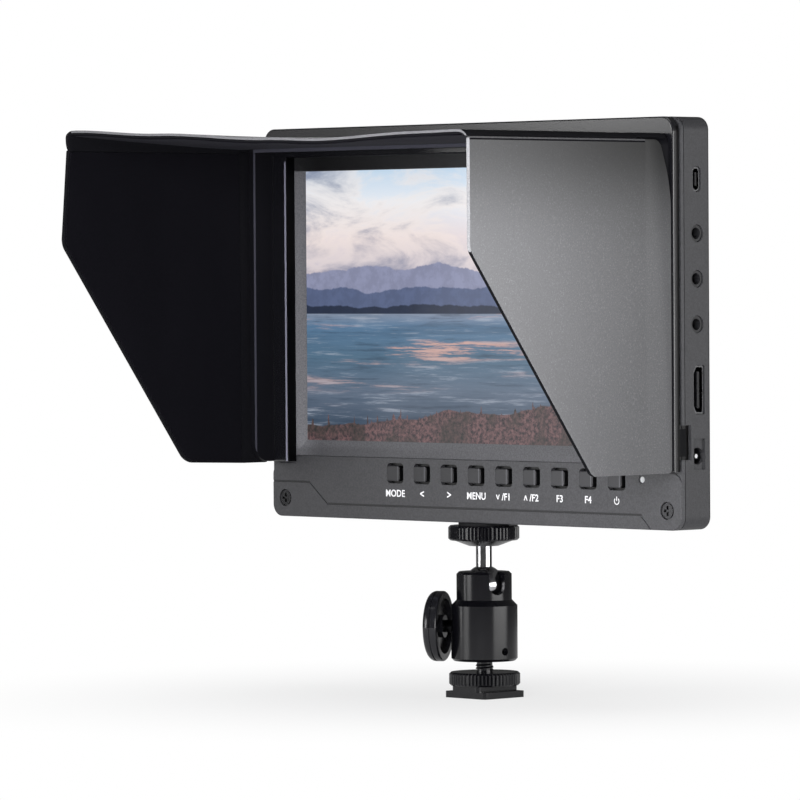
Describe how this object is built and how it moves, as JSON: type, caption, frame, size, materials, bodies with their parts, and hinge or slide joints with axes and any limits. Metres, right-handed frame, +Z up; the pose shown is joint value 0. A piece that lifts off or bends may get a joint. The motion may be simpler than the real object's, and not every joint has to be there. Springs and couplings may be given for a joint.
{
  "type": "camera field monitor with sun hood",
  "caption": "Flat on-camera monitor in a folding sun hood, with front keys and side sockets, on a ball head with a lock knob and shoe foot.",
  "frame": {"origin": "centre of the shoe foot's underside, on the ball head's axis", "axes": "+Z up along the ball head's axis; -Y out of the screen; +X to the viewer's right"},
  "size_m": [0.1866, 0.1174, 0.1813],
  "materials": {
    "body_plastic": "fine grained charcoal moulded plastic",
    "key_plastic": "smooth charcoal moulded plastic",
    "hood_plastic": "satin black moulded plastic",
    "hood_cloth": "dark grey satin coated cloth with fine grain",
    "velvet": "black velvet lining",
    "screen": "satin anti-glare display, lit",
    "light_guide": "clear white light guide",
    "sheet_steel": "plated sheet steel",
    "circuit_board": "green solder mask",
    "switch_plastic": "black switch bodies",
    "black_screw": "black oxide steel",
    "socket_metal": "nickel plated socket shells",
    "socket_plastic": "black socket bodies",
    "brass": "turned brass",
    "anodised_black": "black anodised, satin",
    "knob_plastic": "smooth black moulded knob",
    "polished_steel": "polished chrome plated steel",
    "rubber": "black rubber",
    "light_lens": "milky light lens",
    "seat_plastic": "white acetal"
  },
  "bodies": {
    "shoe_mount": {"shoe_foot": "anodised_black"},
    "lock_ring": {"shoe_lock_ring": "anodised_black"},
    "socket": {"ball_socket": "anodised_black", "ball_seat": "seat_plastic", "grub_screw": "black_screw"},
    "knob": {"lock_knob": "knob_plastic", "knob_screw": "polished_steel"},
    "ball": {"ball_stem": "polished_steel"},
    "upper_disc": {"upper_lock_disc": "anodised_black", "rubber_pad": "rubber"},
    "monitor": {"rear_cover": "body_plastic", "front_bezel": "body_plastic", "lcd_panel": "screen", "backlight_unit": "light_guide", "lcd_chassis": "sheet_steel", "main_board": "circuit_board", "board_screws": "sheet_steel", "key_board": "circuit_board", "tact_switches": "switch_plastic", "status_light": "light_lens", "front_screws": "black_screw", "rear_screws": "black_screw", "usb_port": "socket_metal", "audio_jacks": "socket_plastic", "hdmi_port": "socket_metal", "dc_jack": "socket_plastic", "tripod_insert": "brass", "battery_plate": "hood_plastic", "battery_contacts": "brass"},
    "latch": {"battery_latch": "key_plastic"},
    "hood": {"hood_collar": "hood_plastic", "left_hinge_cloth": "hood_cloth", "right_hinge_cloth": "hood_cloth", "top_hinge_cloth": "hood_cloth"},
    "left_wing": {"left_wing": "hood_cloth", "left_wing_lining": "velvet"},
    "right_wing": {"right_wing": "hood_cloth", "right_wing_lining": "velvet"},
    "top_flap": {"top_flap": "hood_cloth", "top_flap_lining": "velvet"},
    "key_source": {"key_source": "key_plastic"},
    "key_left": {"key_left": "key_plastic"},
    "key_right": {"key_right": "key_plastic"},
    "key_menu": {"key_menu": "key_plastic"},
    "key_down": {"key_down": "key_plastic"},
    "key_up": {"key_up": "key_plastic"},
    "key_three": {"key_three": "key_plastic"},
    "key_four": {"key_four": "key_plastic"},
    "key_power": {"key_power": "key_plastic"}
  },
  "joints": [
    {"name": "lock_ring_turn", "type": "hinge", "parent": "shoe_mount", "child": "lock_ring", "pos_m": [0, 0, 0.0038], "axis": [0, 0, 1], "continuous": true},
    {"name": "head_pan", "type": "hinge", "parent": "shoe_mount", "child": "socket", "pos_m": [0, 0, 0.0116], "axis": [0, 0, 1], "range_deg": [-180, 180]},
    {"name": "lock_knob_turn", "type": "hinge", "parent": "socket", "child": "knob", "pos_m": [0, 0, 0.0223], "axis": [-0.8616, -0.5075, 0], "range_deg": [0, 360]},
    {"name": "ball_tilt", "type": "hinge", "parent": "socket", "child": "ball", "pos_m": [0, 0, 0.0354], "axis": [0.2588, 0.9659, 0], "range_deg": [-20, 90]},
    {"name": "upper_disc_turn", "type": "hinge", "parent": "ball", "child": "upper_disc", "pos_m": [0, 0, 0.0497], "axis": [0, 0, 1], "continuous": true},
    {"name": "monitor_pan", "type": "hinge", "parent": "ball", "child": "monitor", "pos_m": [0, 0, 0.0552], "axis": [0, 0, 1], "continuous": true},
    {"name": "hood_slide", "type": "slide", "parent": "monitor", "child": "hood", "axis": [0, -1, 0], "range_m": [0, 0.012]},
    {"name": "left_wing_fold", "type": "hinge", "parent": "hood", "child": "left_wing", "pos_m": [-0.0912, -0.0204, 0.12325], "axis": [0, 0, 1], "range_deg": [0, 89.4]},
    {"name": "right_wing_fold", "type": "hinge", "parent": "hood", "child": "right_wing", "pos_m": [0.0912, -0.0204, 0.12325], "axis": [0, 0, -1], "range_deg": [0, 91.6]},
    {"name": "top_flap_fold", "type": "hinge", "parent": "hood", "child": "top_flap", "pos_m": [0, -0.0231, 0.17535], "axis": [1, 0, 0], "range_deg": [0, 90.6]},
    {"name": "battery_latch_slide", "type": "slide", "parent": "monitor", "child": "latch", "axis": [0, 0, -1], "range_m": [0, 0.002], "stiffness_N_per_m": 600, "springref_m": -0.001},
    {"name": "key_source_press", "type": "slide", "parent": "monitor", "child": "key_source", "axis": [0, 1, 0], "range_m": [0, 0.0003], "stiffness_N_per_m": 600, "springref_m": -0.0005},
    {"name": "key_left_press", "type": "slide", "parent": "monitor", "child": "key_left", "axis": [0, 1, 0], "range_m": [0, 0.0003], "stiffness_N_per_m": 600, "springref_m": -0.0005},
    {"name": "key_right_press", "type": "slide", "parent": "monitor", "child": "key_right", "axis": [0, 1, 0], "range_m": [0, 0.0003], "stiffness_N_per_m": 600, "springref_m": -0.0005},
    {"name": "key_menu_press", "type": "slide", "parent": "monitor", "child": "key_menu", "axis": [0, 1, 0], "range_m": [0, 0.0003], "stiffness_N_per_m": 600, "springref_m": -0.0005},
    {"name": "key_down_press", "type": "slide", "parent": "monitor", "child": "key_down", "axis": [0, 1, 0], "range_m": [0, 0.0003], "stiffness_N_per_m": 600, "springref_m": -0.0005},
    {"name": "key_up_press", "type": "slide", "parent": "monitor", "child": "key_up", "axis": [0, 1, 0], "range_m": [0, 0.0003], "stiffness_N_per_m": 600, "springref_m": -0.0005},
    {"name": "key_three_press", "type": "slide", "parent": "monitor", "child": "key_three", "axis": [0, 1, 0], "range_m": [0, 0.0003], "stiffness_N_per_m": 600, "springref_m": -0.0005},
    {"name": "key_four_press", "type": "slide", "parent": "monitor", "child": "key_four", "axis": [0, 1, 0], "range_m": [0, 0.0003], "stiffness_N_per_m": 600, "springref_m": -0.0005},
    {"name": "key_power_press", "type": "slide", "parent": "monitor", "child": "key_power", "axis": [0, 1, 0], "range_m": [0, 0.0003], "stiffness_N_per_m": 600, "springref_m": -0.0005}
  ]
}
